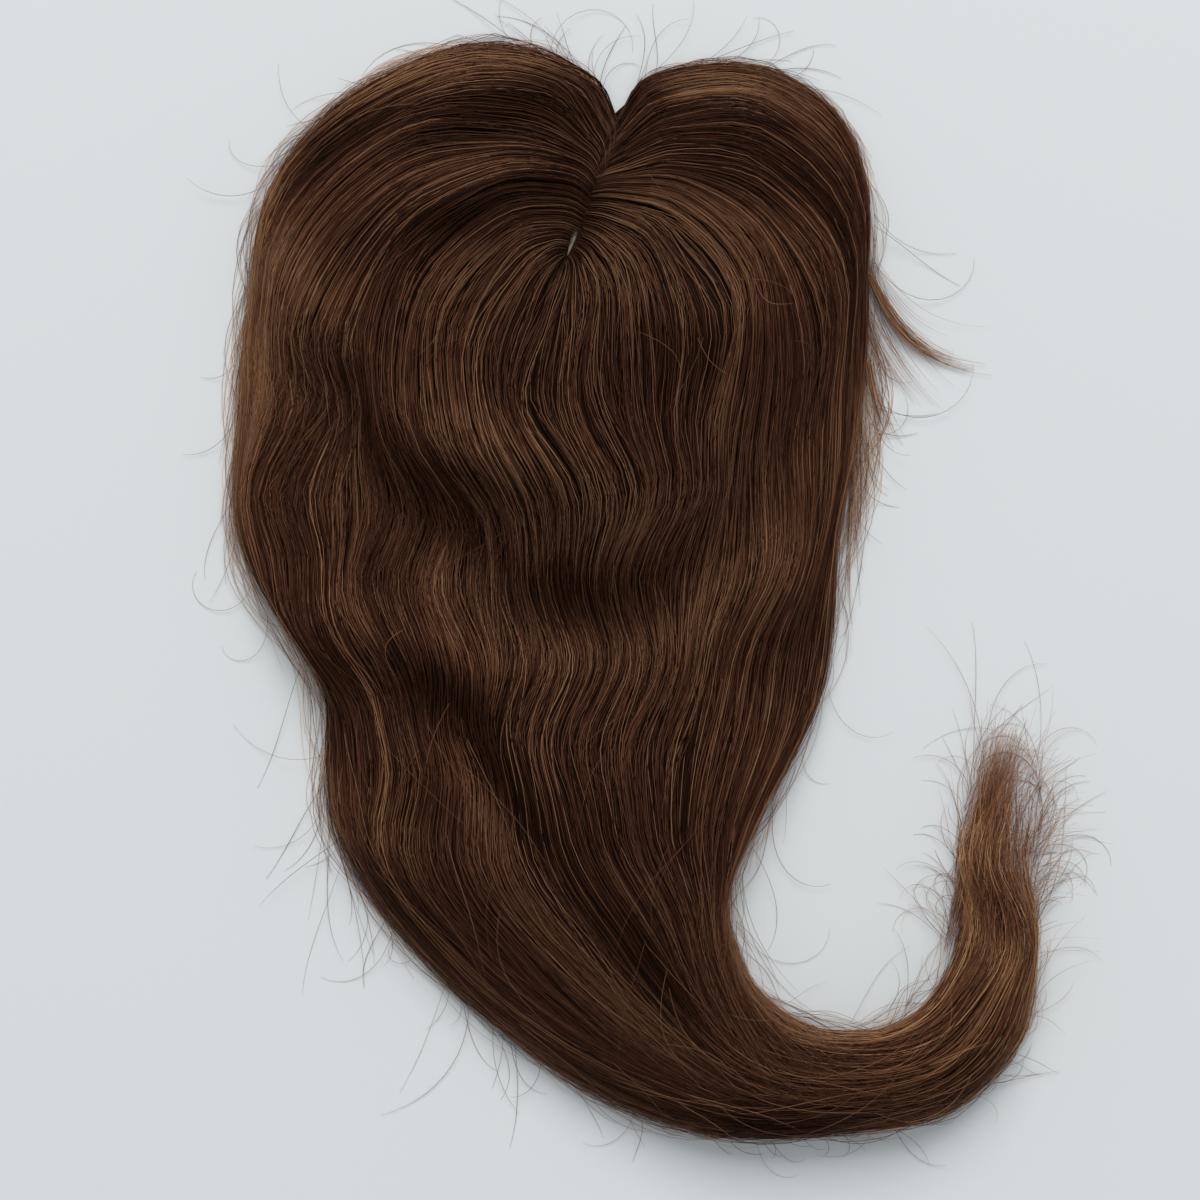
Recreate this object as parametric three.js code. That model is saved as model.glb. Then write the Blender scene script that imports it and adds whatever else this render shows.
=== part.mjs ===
// A hair topper lying on a table, seen with its front hairline towards +Y.
// A domed base with clips under it carries hair that is parted in the middle, falls in two
// lengths over the back and ends in a tail that curls round to the right.
// Millimetres, +Z up. The origin is on the table, under the middle of the whole piece.
import * as THREE from "three";

// Base: a shallow oval dome of fine mesh, rim down
const BASE_CENTRE = { x: -19.5, y: 82.2 };
const BASE_WIDTH = 110;
const BASE_LENGTH = 122;
const BASE_RISE = 17;
const BASE_WALL = 1.2;
const RIM_WALL = 1.8;
const BASE_AROUND = 36;
const BASE_STEPS = 10;

// Clips: flat plates with round ends under the base, part of the way out to its rim
const CLIP_LENGTH = 28;
const CLIP_WIDTH = 9;
const CLIP_PLATE = 1.6;
const CLIP_REACH = 0.64;
const CLIP_DROP = 1.7;
const CLIP_END_STEPS = 6;
const CLIPS = [
  { name: "front_clip", bearing: 90 },
  { name: "left_clip", bearing: 180 },
  { name: "back_clip", bearing: 270 },
  { name: "right_clip", bearing: 0 },
];

// Hair: its clearance over the base, the gap left at a piece's ends as part of a section and at its
// sides as part of a strip, its thickness at the roots and the height of its edges
const BASE_CLEARANCE = 1;
const END_GAP = 0.015;
const SIDE_GAP = 0.1;
const ROOT_COVER = 2;
const EDGE_HEIGHT = 2.5;
const ROOT_RISE_SECTIONS = 1.2;
const ROUNDED_FROM_SECTION = 2;
const ROUNDED_POWER = 1.4;
const CELLS_PER_SECTION = 3;

// Sections across the hair, from the parting to the tip of the tail. left and right are its two
// edges on the table, dip is how far its middle lies from the line between them, bulge is how
// far its quarters swell outwards, and crest is the height of its middle.
const SECTIONS = [
  { at: "parting", left: [-10.5, 144.6], right: [-9.3, 144.6], dip: [-14.1, -42.6], bulge: 1, crest: 18 },
  { at: "rise", left: [-18, 157], right: [-1.5, 155], dip: [-15, -68], bulge: 13, crest: 25 },
  { at: "brow", left: [-39, 165], right: [19.5, 160], dip: [-16.5, -96], bulge: 30.5, crest: 28 },
  { at: "shoulder", left: [-81, 155], right: [45, 155], dip: [-9, -106], bulge: 30, crest: 27 },
  { at: "temple", left: [-112.5, 125], right: [62.5, 128], dip: [-1, -99], bulge: 25, crest: 22 },
  { at: "rim", left: [-123, 90.5], right: [67.5, 93.5], dip: [3.5, -85.5], bulge: 19.5, crest: 17 },
  { at: "nape", left: [-126.5, 48.5], right: [67, 51.5], dip: [5, -64.5], bulge: 18, crest: 18 },
  { at: "back", left: [-123, 11], right: [60.5, 9.5], dip: [3, -44.5], bulge: 15, crest: 18 },
  { at: "waist", left: [-101.5, -32.5], right: [53.5, -32.5], dip: [-3, -19.5], bulge: 13.5, crest: 18 },
  { at: "draw_in", left: [-96, -71.5], right: [34.5, -70], dip: [10, -8.5], bulge: 9.5, crest: 19 },
  { at: "turn", left: [-69, -111], right: [26, -92.5], dip: [14, -4], bulge: 4, crest: 20 },
  { at: "gather", left: [-27, -144], right: [30.5, -113.5], dip: [7, 0], bulge: 1.5, crest: 21 },
  { at: "sweep", left: [12, -161], right: [45, -127], dip: [2, 0], bulge: 0, crest: 21 },
  { at: "bottom", left: [51, -164.5], right: [65.5, -130], dip: [0, 0], bulge: 0, crest: 20 },
  { at: "curl", left: [88.5, -156], right: [79.5, -123.5], dip: [0, 0], bulge: 0, crest: 20 },
  { at: "climb", left: [111.5, -134.5], right: [87.5, -111], dip: [0, 0], bulge: 0, crest: 19 },
  { at: "upright", left: [117.5, -106], right: [89.5, -94], dip: [0, 0], bulge: 0, crest: 18 },
  { at: "neck", left: [116.5, -82], right: [92, -81], dip: [0, 0], bulge: 0, crest: 16 },
  { at: "tuft", left: [124.5, -60], right: [92, -62.5], dip: [0, 1], bulge: 0, crest: 12 },
  { at: "tip", left: [122, -40], right: [105, -37], dip: [0, 3], bulge: 0, crest: 6 },
];

// Waves and valleys in the hair: an oval rise or hollow round a point, long along its angle
const FOLDS = [
  { at: "crown_hollow_left", x: -49.5, y: 24.5, angle: -40, length: 28, width: 9, rise: -4 },
  { at: "crown_hollow_middle", x: -15, y: 2, angle: 5, length: 30, width: 9, rise: -4.5 },
  { at: "crown_hollow_right", x: 15, y: 21.5, angle: 45, length: 24, width: 9, rise: -4 },
  { at: "valley_between_lengths", x: -36, y: -62, angle: -52, length: 55, width: 9, rise: -6 },
  { at: "right_edge_hollow", x: 42, y: -20, angle: 75, length: 34, width: 8, rise: -3.5 },
  { at: "left_wave", x: -105, y: 90, angle: -55, length: 26, width: 10, rise: 2.5 },
  { at: "left_hollow", x: -92, y: 57, angle: -65, length: 26, width: 9, rise: -3.5 },
  { at: "back_wave", x: -27, y: -20, angle: 0, length: 45, width: 12, rise: 2.5 },
];

// Pieces of hair: the stretch of sections that each one takes, and its strips of the whole width
const STRIPS = 30;
const HAIR_PIECES = [
  { name: "left_front_hair", from: "parting", to: "rim", left: 0, right: 12, step: 1 },
  { name: "crown_hair", from: "parting", to: "rim", left: 12, right: 18, step: 1 },
  { name: "right_front_hair", from: "parting", to: "rim", left: 18, right: 30, step: 1 },
  { name: "left_length", from: "rim", to: "gather", left: 0, right: 12, step: 1 },
  { name: "right_length", from: "rim", to: "gather", left: 12, right: 30, step: 1 },
  { name: "tail", from: "gather", to: "neck", left: 0, right: 30, step: 3 },
  { name: "tail_tuft", from: "neck", to: "tip", left: 0, right: 30, step: 3 },
];

const hairMaterial = new THREE.MeshStandardMaterial({ color: 0x3a231a, roughness: 0.5, metalness: 0 });
const baseMaterial = new THREE.MeshStandardMaterial({ color: 0xcdb9a8, roughness: 0.8, metalness: 0 });
const clipMaterial = new THREE.MeshStandardMaterial({ color: 0x2b211c, roughness: 0.45, metalness: 0.6 });

// Height of the base's outer face over a point, grown on all sides by a clearance
function domeHeight(x, y, clearance = 0) {
  const across = (x - BASE_CENTRE.x) / (BASE_WIDTH / 2 + clearance);
  const along = (y - BASE_CENTRE.y) / (BASE_LENGTH / 2 + clearance);
  return Math.max(0, (BASE_RISE + clearance) * (1 - across ** 2 - along ** 2));
}

// Sum of the folds at a point
function foldHeight(x, y) {
  return FOLDS.reduce((sum, fold) => {
    const angle = THREE.MathUtils.degToRad(fold.angle);
    const dx = x - fold.x;
    const dy = y - fold.y;
    const along = (dx * Math.cos(angle) + dy * Math.sin(angle)) / fold.length;
    const across = (dy * Math.cos(angle) - dx * Math.sin(angle)) / fold.width;
    return sum + fold.rise * Math.exp(-(along ** 2) - across ** 2);
  }, 0);
}

// Smooth curves through one column or pair of columns of the section table
function curveThrough(pick) {
  const marks = SECTIONS.map((row) => new THREE.Vector3(...pick(row)));
  return new THREE.CatmullRomCurve3(marks, false, "catmullrom", 0.5);
}
const leftEdge = curveThrough((row) => [...row.left, 0]);
const rightEdge = curveThrough((row) => [...row.right, 0]);
const middleDip = curveThrough((row) => [...row.dip, 0]);
const swell = curveThrough((row) => [row.bulge, row.crest, 0]);
const sectionIndex = (name) => SECTIONS.findIndex((row) => row.at === name);

// A point on top of the hair: section counts along it, share runs from its left edge to its right
function hairTop(section, share) {
  const along = section / (SECTIONS.length - 1);
  const side = 2 * share - 1;
  const { x: bulge, y: crest } = swell.getPoint(along);
  const point = leftEdge.getPoint(along).lerp(rightEdge.getPoint(along), share);
  const rounded = THREE.MathUtils.smoothstep(section, 0, ROUNDED_FROM_SECTION);
  const power = THREE.MathUtils.lerp(1, ROUNDED_POWER, rounded);
  point.addScaledVector(middleDip.getPoint(along), 1 - Math.abs(side) ** power);
  point.x += bulge * Math.sin(Math.PI * side);
  const round = Math.sqrt(Math.max(0, 1 - side ** 2));
  const body = EDGE_HEIGHT + (crest - EDGE_HEIGHT + foldHeight(point.x, point.y)) * round;
  const root = domeHeight(point.x, point.y, BASE_CLEARANCE) + ROOT_COVER;
  const rise = THREE.MathUtils.smoothstep(section, 0, ROOT_RISE_SECTIONS);
  point.z = Math.max(root, THREE.MathUtils.lerp(root, body, rise));
  return point;
}

// A closed solid between the top of the hair and the table or the base
function hairSolid({ from, to, left, right, step }) {
  const start = sectionIndex(from);
  const end = sectionIndex(to);
  const rows = (end - start) * CELLS_PER_SECTION;
  const cellsAcross = (right - left) / step;
  const first = start + (start > 0 ? END_GAP : 0);
  const last = end - (end < SECTIONS.length - 1 ? END_GAP : 0);
  const low = left + (left > 0 ? SIDE_GAP : 0);
  const high = right - (right < STRIPS ? SIDE_GAP : 0);
  const places = [];
  const columns = cellsAcross + 1;
  for (const under of [false, true]) {
    for (let i = 0; i <= rows; i++) {
      for (let j = 0; j <= cellsAcross; j++) {
        const section = THREE.MathUtils.lerp(first, last, i / rows);
        const share = THREE.MathUtils.clamp(left + j * step, low, high) / STRIPS;
        const point = hairTop(section, share);
        if (under) point.z = domeHeight(point.x, point.y, BASE_CLEARANCE);
        places.push(point.x, point.y, point.z);
      }
    }
  }
  const under = columns * (rows + 1);
  const faces = [];
  const quad = (a, b, c, d) => faces.push(a, b, c, a, c, d);
  const wall = (a, b) => quad(a, under + a, under + b, b);
  const at = (i, j) => i * columns + j;
  for (let i = 0; i < rows; i++) {
    for (let j = 0; j < cellsAcross; j++) {
      quad(at(i, j), at(i + 1, j), at(i + 1, j + 1), at(i, j + 1));
      quad(under + at(i, j), under + at(i, j + 1), under + at(i + 1, j + 1), under + at(i + 1, j));
    }
  }
  for (let i = 0; i < rows; i++) {
    wall(at(i, 0), at(i + 1, 0));
    wall(at(i + 1, cellsAcross), at(i, cellsAcross));
  }
  for (let j = 0; j < cellsAcross; j++) {
    wall(at(0, j + 1), at(0, j));
    wall(at(rows, j), at(rows, j + 1));
  }
  const geometry = new THREE.BufferGeometry();
  geometry.setAttribute("position", new THREE.Float32BufferAttribute(places, 3));
  geometry.setIndex(faces);
  return geometry;
}

// The base: a wall turned from its outer and inner curves, then made oval
function baseMesh() {
  const outer = [];
  const inner = [];
  const half = BASE_WIDTH / 2;
  const innerHalf = half - RIM_WALL;
  for (let i = 0; i <= BASE_STEPS; i++) {
    const share = i / BASE_STEPS;
    outer.push(new THREE.Vector2(half * (1 - share), BASE_RISE * (1 - (1 - share) ** 2)));
    inner.push(new THREE.Vector2(innerHalf * share, (BASE_RISE - BASE_WALL) * (1 - share ** 2)));
  }
  const profile = [...inner, ...outer];
  const geometry = new THREE.LatheGeometry(profile, BASE_AROUND).rotateX(Math.PI / 2);
  const mesh = new THREE.Mesh(geometry, baseMaterial);
  mesh.name = "base";
  mesh.scale.y = BASE_LENGTH / BASE_WIDTH;
  mesh.position.set(BASE_CENTRE.x, BASE_CENTRE.y, 0);
  return mesh;
}

// One clip: a plate lying against the hollow of the base, its length along the rim
function clipMesh({ name, bearing }) {
  const turn = THREE.MathUtils.degToRad(bearing);
  const halfWidth = BASE_WIDTH / 2 - RIM_WALL;
  const halfLength = (halfWidth * BASE_LENGTH) / BASE_WIDTH;
  const dx = CLIP_REACH * halfWidth * Math.cos(turn);
  const dy = CLIP_REACH * halfLength * Math.sin(turn);
  const rise = BASE_RISE - BASE_WALL;
  const height = rise * (1 - CLIP_REACH ** 2);
  const slopeX = (2 * rise * dx) / halfWidth ** 2;
  const slopeY = (2 * rise * dy) / halfLength ** 2;
  const outwards = new THREE.Vector3(slopeX, slopeY, 1).normalize();
  const along = new THREE.Vector3(-Math.sin(turn), Math.cos(turn), 0);
  const across = new THREE.Vector3().crossVectors(outwards, along);
  const round = CLIP_WIDTH / 2;
  const straight = CLIP_LENGTH / 2 - round;
  const outline = new THREE.Shape();
  outline.absarc(straight, 0, round, -Math.PI / 2, Math.PI / 2);
  outline.absarc(-straight, 0, round, Math.PI / 2, (3 * Math.PI) / 2);
  const settings = { depth: CLIP_PLATE, bevelEnabled: false, curveSegments: CLIP_END_STEPS };
  const geometry = new THREE.ExtrudeGeometry(outline, settings).translate(0, 0, -CLIP_PLATE - CLIP_DROP);
  geometry.applyMatrix4(new THREE.Matrix4().makeBasis(along, across, outwards));
  const mesh = new THREE.Mesh(geometry, clipMaterial);
  mesh.name = name;
  mesh.position.set(BASE_CENTRE.x + dx, BASE_CENTRE.y + dy, height);
  return mesh;
}

const hairpiece = new THREE.Group();
hairpiece.add(baseMesh());
for (const clip of CLIPS) hairpiece.add(clipMesh(clip));
for (const piece of HAIR_PIECES) {
  const mesh = new THREE.Mesh(hairSolid(piece), hairMaterial);
  mesh.name = piece.name;
  hairpiece.add(mesh);
}

// The origin goes under the middle of the whole piece
const bounds = new THREE.Box3().setFromObject(hairpiece);
const middle = bounds.getCenter(new THREE.Vector3());
hairpiece.position.set(-middle.x, -middle.y, -bounds.min.z);
const topper = new THREE.Group().add(hairpiece);
export default topper;
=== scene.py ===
"""A hair topper on a pale table: wavy hair on a domed base, parted in the middle, its tail curled round."""
import math

import bpy
import numpy as np
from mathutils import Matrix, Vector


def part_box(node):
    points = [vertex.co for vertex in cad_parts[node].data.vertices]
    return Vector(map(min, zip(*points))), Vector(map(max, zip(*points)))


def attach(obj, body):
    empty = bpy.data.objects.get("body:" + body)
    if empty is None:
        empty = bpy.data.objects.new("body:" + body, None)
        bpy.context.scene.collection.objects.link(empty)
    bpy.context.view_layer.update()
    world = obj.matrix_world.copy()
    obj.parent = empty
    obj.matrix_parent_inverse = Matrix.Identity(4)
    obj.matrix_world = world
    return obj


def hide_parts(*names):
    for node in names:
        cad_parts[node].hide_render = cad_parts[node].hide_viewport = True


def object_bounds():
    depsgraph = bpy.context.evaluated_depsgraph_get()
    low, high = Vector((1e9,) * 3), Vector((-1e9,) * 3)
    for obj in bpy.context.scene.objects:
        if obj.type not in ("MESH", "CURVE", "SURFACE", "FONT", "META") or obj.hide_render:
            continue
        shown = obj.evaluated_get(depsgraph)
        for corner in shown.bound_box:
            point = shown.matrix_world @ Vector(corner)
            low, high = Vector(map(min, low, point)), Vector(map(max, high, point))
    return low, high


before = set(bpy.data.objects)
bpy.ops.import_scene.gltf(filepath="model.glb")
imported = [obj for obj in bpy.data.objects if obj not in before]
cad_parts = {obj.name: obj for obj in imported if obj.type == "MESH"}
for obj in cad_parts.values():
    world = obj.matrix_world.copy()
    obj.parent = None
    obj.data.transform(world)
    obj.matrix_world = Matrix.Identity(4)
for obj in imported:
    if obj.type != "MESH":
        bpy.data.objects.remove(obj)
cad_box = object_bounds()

MM = 0.001
rng = np.random.default_rng(7)

# The photograph's frame on the table, and the camera straight above it
FRAME_WIDTH = 360 * MM
FRAME_CENTRE = (-14 * MM, -2.5 * MM)
CAMERA_HEIGHT = 1100 * MM
SENSOR_WIDTH = 36

# The table, and the light: a wide window past its far side and the room's own soft light, in metres
TABLE_SIZE = 6
TABLE_COLOUR = (0.69, 0.715, 0.73, 1)
WINDOW_PLACE = (0.2, 4.8, 4.0)
WINDOW_SIZE = (5.2, 3.2)
WINDOW_POWER = 365
WINDOW_COLOUR = (1, 0.98, 0.95)
ROOM_COLOUR = (0.93, 0.97, 1, 1)
ROOM_STRENGTH = 0.5

# The base, in millimetres, as it stands in the hair's own layout, and how the hair lies over it
BASE_CENTRE = (-19.5, 82.2)
BASE_WIDTH = 110
BASE_LENGTH = 122
BASE_RISE = 17
BASE_CLEARANCE = 1
ROOT_COVER = 2
EDGE_HEIGHT = 2
EDGE_ROUNDING = 0.72
EDGE_INSET = 2.6
EDGE_INSET_SECTIONS = (0.8, 2)
EDGE_ZONE = 0.2
ROOT_RISE_SECTIONS = 1.2
ROUNDED_FROM_SECTION = 2
ROUNDED_POWER = 1.4
PARTING_OVERLAP = 1.6
PARTING_GAP = 0.1
PARTING_GAP_SIDES = (0.12, 0.26)
PARTING_SECTIONS = (0, 0.5)

# Sections across the hair from the parting to the tip: its two edges on the table, how far its
# middle dips from the line between them, the swell of its quarters and the height of its middle
LEFT_X, LEFT_Y, RIGHT_X, RIGHT_Y, DIP_X, DIP_Y, BULGE, CREST = range(8)
SECTIONS = {
    "parting": (-10.5, 144.6, -9.3, 144.6, -14.8, -45, 1, 18),
    "rise": (-18, 154.5, -1.5, 154.5, -15, -68, 13, 25),
    "brow": (-40.5, 164.3, 19.5, 159.3, -16.5, -96, 30.5, 28),
    "shoulder": (-80.5, 155.3, 44.5, 151.2, -9, -107, 30, 27),
    "temple": (-114, 127, 65, 130, -1.5, -101, 25, 22),
    "rim": (-123, 90.5, 67.5, 93.5, 3.5, -85.5, 19.5, 17),
    "nape": (-126.5, 48.5, 66.5, 51.5, 5, -64.5, 18, 18),
    "back": (-124, 11, 59, 9.5, 3, -44.5, 15, 18),
    "waist": (-100.5, -32.5, 53, -32.5, -3, -19.5, 13.5, 18),
    "draw_in": (-96, -71.5, 34.5, -70, 10, -8.5, 9.5, 19),
    "turn": (-69, -111, 26, -92.5, 14, -4, 4, 20),
    "gather": (-27.5, -145.5, 30.5, -113.5, 7, 0, 1.5, 21),
    "sweep": (12, -163, 44.5, -126, 2, 0, 0, 21),
    "bottom": (51, -164, 65.5, -128.5, 0, 0, 0, 20),
    "curl": (89.5, -157, 78.5, -122, 0, 0, 0, 20),
    "climb": (112.5, -135, 86, -110, 0, 0, 0, 19),
    "upright": (116.2, -106, 90.3, -94, 0, 0, 0, 18),
    "neck": (115.2, -82, 91.6, -81, 0, 0, 0, 16),
    "tuft": (117, -60, 95, -62, 0, 1, 0, 12),
    "tip": (110, -42, 103, -42, 0, 2, 0, 6),
}
SECTION_ROWS = np.array(list(SECTIONS.values()), float)
LAST_SECTION = len(SECTIONS) - 1

# Waves and valleys: x, y, angle, length, width and rise of each
FOLDS = {
    "left_brow_crest": (-54, 149, 10, 35, 9, 4),
    "left_front_crest": (-56, 118, 18, 24, 9, 3.5),
    "left_wave": (-103, 84, -55, 26, 10, 3),
    "left_hollow": (-92, 57, -65, 26, 9, -3),
    "right_brow_crest": (24, 148, -10, 25, 9, 2.5),
    "right_front_hollow": (21, 118, -15, 30, 10, -2.5),
    "crown_right_crest": (15, 79, 10, 25, 14, 2.5),
    "crown_left_crest": (-52, 40, -20, 26, 10, 3.5),
    "crown_hollow_left": (-57, 12, -38, 24, 10, -3.5),
    "crown_hollow_middle": (-20, -9, 0, 28, 13, -4.5),
    "crown_hollow_right": (15, 6, 45, 22, 11, -4),
    "left_back_crest": (-72, -18, -25, 26, 11, 3.5),
    "right_back_crest": (36, 0, 20, 16, 18, 3),
    "back_crest": (-5, -56, 0, 42, 22, 2),
    "right_edge_hollow": (40, -22, 75, 30, 8, -2),
    "valley_between_lengths": (-42, -66, -58, 46, 8, -4.5),
    "valley_end": (-2, -116, -53, 24, 8, -3.5),
    "left_turn_crest": (-81, -80, -30, 28, 13, 3),
    "tail_twist": (99, -95, -60, 16, 6, -3),
}
FOLD_DEPTH = 1.45

# Lighter and darker patches, painted light and shade that are partly the hair's own tone: x, y, angle,
# length, width and how much lighter each is
SHADE_AND_TONE_PATCHES = {
    "left_brow": (-40, 134, 10, 26, 12, -0.12),
    "right_temple": (44, 134, -60, 30, 12, -0.16),
    "right_of_whorl": (-8, 103, -60, 18, 11, 0.28),
    "left_side": (-106, 82, 80, 26, 15, 0.3),
    "left_temple": (-102, 124, 55, 28, 12, -0.18),
    "left_rim": (-102, 46, 80, 18, 12, -0.04),
    "left_of_whorl": (-58, 94, 30, 18, 9, 0.16),
    "left_front": (-90, 97, -70, 12, 8, -0.1),
    "left_hollow": (-82, 66, -60, 12, 8, 0.12),
    "crown_rim": (-52, 5, -30, 12, 8, 0.12),
    "right_side": (40, 35, 0, 18, 8, 0.1),
    "back_middle": (-8, -86, -50, 20, 8, 0.1),
    "right_rim": (61, 103, 90, 24, 7, -0.17),
    "right_waist": (52, -12, 80, 28, 8, -0.26),
    "left_waist": (-98, -36, 80, 18, 8, -0.24),
    "right_brow": (8, 153, -10, 14, 6, 0.1),
    "right_back_top": (24, 21, 0, 18, 9, 0.1),
    "crown_left": (-50, 48, -20, 30, 10, 0.07),
    "crown_end": (-28, 24, -8, 54, 17, 0.2),
    "crown_middle": (-35, 80, 0, 32, 15, 0.08),
    "right_back": (26, -2, 0, 24, 18, 0.12),
    "left_back": (-36, -40, -45, 24, 10, 0.07),
    "valley_end": (0, -118, -55, 26, 7, -0.12),
    "tail_bottom": (38, -161, 0, 20, 8, -0.34),
    "tail_turn": (92, -144, 40, 18, 9, -0.12),
    "tail_neck": (95, -74, 90, 16, 6, 0.18),
}

# Sideways swings of the strands: centre x and y, reach in x and y, size, wave length, a crossing's y
SWINGS = {
    "body": (-18, -4, 36, 54, 4.6, 57, -10.8),
    "right_back": (28, 20, 20, 34, 3, 120, 40),
    "left_back": (-73, -10, 22, 36, 5, 60, -11),
    "left_temple": (-102, 42, 18, 32, 5, 60, 72),
    "tail": (103, -94, 11, 26, 4.5, 70, -88),
}

# The strands' way out of the whorl, by share of the width: where they lie at the root, as they rise,
# as they arch over and as they fall towards the temples
FLOW_LINES = {
    0.00: ((-14.5, 125), (-11, 142.5), (-20.5, 156.6), (-60, 166.6)),
    0.04: ((-15, 124), (-17, 136), (-31.5, 151), (-67.5, 150.5)),
    0.12: ((-16, 122.5), (-23, 130), (-44.5, 135.5), (-77, 132.5)),
    0.20: ((-16.5, 120.5), (-25, 128), (-47.5, 128.5), (-79, 114.5)),
    0.30: ((-18, 116.5), (-27, 122), (-49, 119), (-76, 98)),
    0.40: ((-21.5, 106.5), (-29, 108.5), (-43.5, 103.5), (-61.5, 78.5)),
    0.46: ((-24.5, 100.5), (-29.5, 99), (-37, 90), (-46, 66)),
    0.50: ((-25, 98.5), (-25, 92.5), (-29.5, 77.5), (-35, 56)),
    0.54: ((-23.5, 101.5), (-20, 97.5), (-17, 85), (-18.5, 62)),
    0.58: ((-20.5, 107), (-14.5, 103.5), (-6, 92), (-3, 67)),
    0.64: ((-17.5, 117), (-8.5, 116.5), (9, 109), (24.5, 84)),
    0.72: ((-16.5, 120.5), (-7, 122.5), (12.5, 119.5), (34, 99.5)),
    0.83: ((-16, 122), (-8, 124), (10, 126), (35, 117.5)),
    0.94: ((-15, 124), (-9, 132.5), (6.5, 143.5), (35.5, 145)),
    1.00: ((-14.5, 125), (-9, 142), (1, 155), (36, 159)),
}
FLOW_END = 4
FLOW_STEP = 0.1
FLOW_PULL = 40

# Loose edges, where the dense hair ends further inside the outline: edge (0 left, 1 right), section,
# half length and how much further in
LOOSE_EDGES = {
    "left_side": (0, 4.8, 2.0, 1.4),
    "left_turn": (0, 9.3, 0.8, 0.6),
    "right_side": (1, 6.1, 0.7, 2.2),
}

# Thin streaks where the table shows between the strands: edge, section, half length, how far in they
# are thinnest, how far they reach and how thin they are
THIN_STREAKS = {
    "right_brow": (1, 2.2, 0.8, 7, 6, 0.5),
    "right_slit": (1, 5.65, 0.25, 10, 1.2, 1),
}

# Hair solids of the frame that get a body: their first and last section, their share of the width, and
# the body's cells along and across
HAIR_NODES = {
    "left_front_hair": (0, 5, 0, 0.4, 28, 24),
    "crown_hair": (0, 5, 0.4, 0.6, 28, 16),
    "right_front_hair": (0, 5, 0.6, 1, 28, 24),
    "left_length": (5, 11, 0, 0.4, 32, 18),
    "right_length": (5, 11, 0.4, 1, 32, 24),
    "tail": (11, 17, 0, 1, 36, 14),
}
CLIPS = ("front_clip", "left_clip", "back_clip", "right_clip")

# How finely the hair's plan is measured
CROWN_GRID = 500
CROWN_SECTIONS = FLOW_END + 2
CROWN_MARGIN = 2
CROWN_SMOOTHINGS = 2
LAST_SQUARE = 1.01
ROW_POINTS = 121
ROWS_PER_SECTION = 8
HEADING_STEP = 0.05
EDGE_STEP = 0.01
LEAST_EDGE_REACH = 20

base_low, base_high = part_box("base")
LAYOUT_SHIFT = (
    (base_low[0] + base_high[0]) / 2 / MM - BASE_CENTRE[0],
    (base_low[1] + base_high[1]) / 2 / MM - BASE_CENTRE[1],
)


def smoothstep(value, low, high):
    share = np.clip((value - low) / (high - low), 0, 1)
    return share * share * (3 - 2 * share)


def bell(value, centre, width):
    return np.exp(-(((value - centre) / width) ** 2))


def plateau(value, centre, width):
    """Near 1 within the width of the centre, and near 0 outside it."""
    return np.exp(-(((value - centre) / width) ** 6))


def curve_between(last, here, following, next_one, step):
    """A smooth curve from one mark to the following one, by the marks on both sides of them."""
    cubic = 3 * (here - following) + next_one - last
    square = 2 * last - 5 * here + 4 * following - next_one
    return here + 0.5 * step * ((following - last) + step * (square + step * cubic))


def section_row(section):
    """The section table read at any place along the hair, on smooth curves through its rows."""
    section = np.clip(section, 0, LAST_SECTION)
    before = np.clip(np.floor(section).astype(int), 0, LAST_SECTION - 1)
    step = (section - before)[..., None]
    here, following = SECTION_ROWS[before], SECTION_ROWS[before + 1]
    inner = (before > 0)[..., None]
    outer = (before < LAST_SECTION - 1)[..., None]
    last = np.where(inner, SECTION_ROWS[before - 1], 2 * here - following)
    next_one = np.where(outer, SECTION_ROWS[np.minimum(before + 2, LAST_SECTION)], 2 * following - here)
    return curve_between(last, here, following, next_one, step)


def dome_height(x, y, clearance):
    across = (x - BASE_CENTRE[0]) / (BASE_WIDTH / 2 + clearance)
    along = (y - BASE_CENTRE[1]) / (BASE_LENGTH / 2 + clearance)
    return np.maximum(0, (BASE_RISE + clearance) * (1 - across**2 - along**2))


def mound(x, y, angle, length, width):
    """A smooth long mound that is 1 at its middle and lies at an angle in degrees."""
    cosine, sine = math.cos(math.radians(angle)), math.sin(math.radians(angle))
    along = (x * cosine + y * sine) / length
    across = (y * cosine - x * sine) / width
    return np.exp(-(along**2) - across**2)


def fold_height(x, y):
    total = np.zeros_like(x)
    for fold_x, fold_y, angle, length, width, rise in FOLDS.values():
        total += FOLD_DEPTH * rise * mound(x - fold_x, y - fold_y, angle, length, width)
    return total


def patch_shade_and_tone(x, y):
    """How much lighter the hair is in the patches of painted light and shade."""
    total = np.zeros_like(x)
    for patch_x, patch_y, angle, length, width, lighter in SHADE_AND_TONE_PATCHES.values():
        total += lighter * mound(x - patch_x, y - patch_y, angle, length, width)
    return total


def fold_slope(x, y):
    """How steeply the waves face the far side of the table, where the window is, for the painted light and
    shade on the strands.
    """
    return (fold_height(x, y - 1) - fold_height(x, y + 1)) / 2


def hair_plan(section, share):
    """Where a place in the hair lies on the table, in the layout's millimetres."""
    row = section_row(section)
    side = 2 * share - 1
    power = 1 + (ROUNDED_POWER - 1) * smoothstep(section, 0, ROUNDED_FROM_SECTION)
    dip = 1 - np.minimum(np.abs(side), 1) ** power
    x = row[..., LEFT_X] + (row[..., RIGHT_X] - row[..., LEFT_X]) * share
    y = row[..., LEFT_Y] + (row[..., RIGHT_Y] - row[..., LEFT_Y]) * share
    x = x + row[..., DIP_X] * dip + row[..., BULGE] * np.sin(np.pi * side)
    y = y + row[..., DIP_Y] * dip
    return x, y


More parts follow.
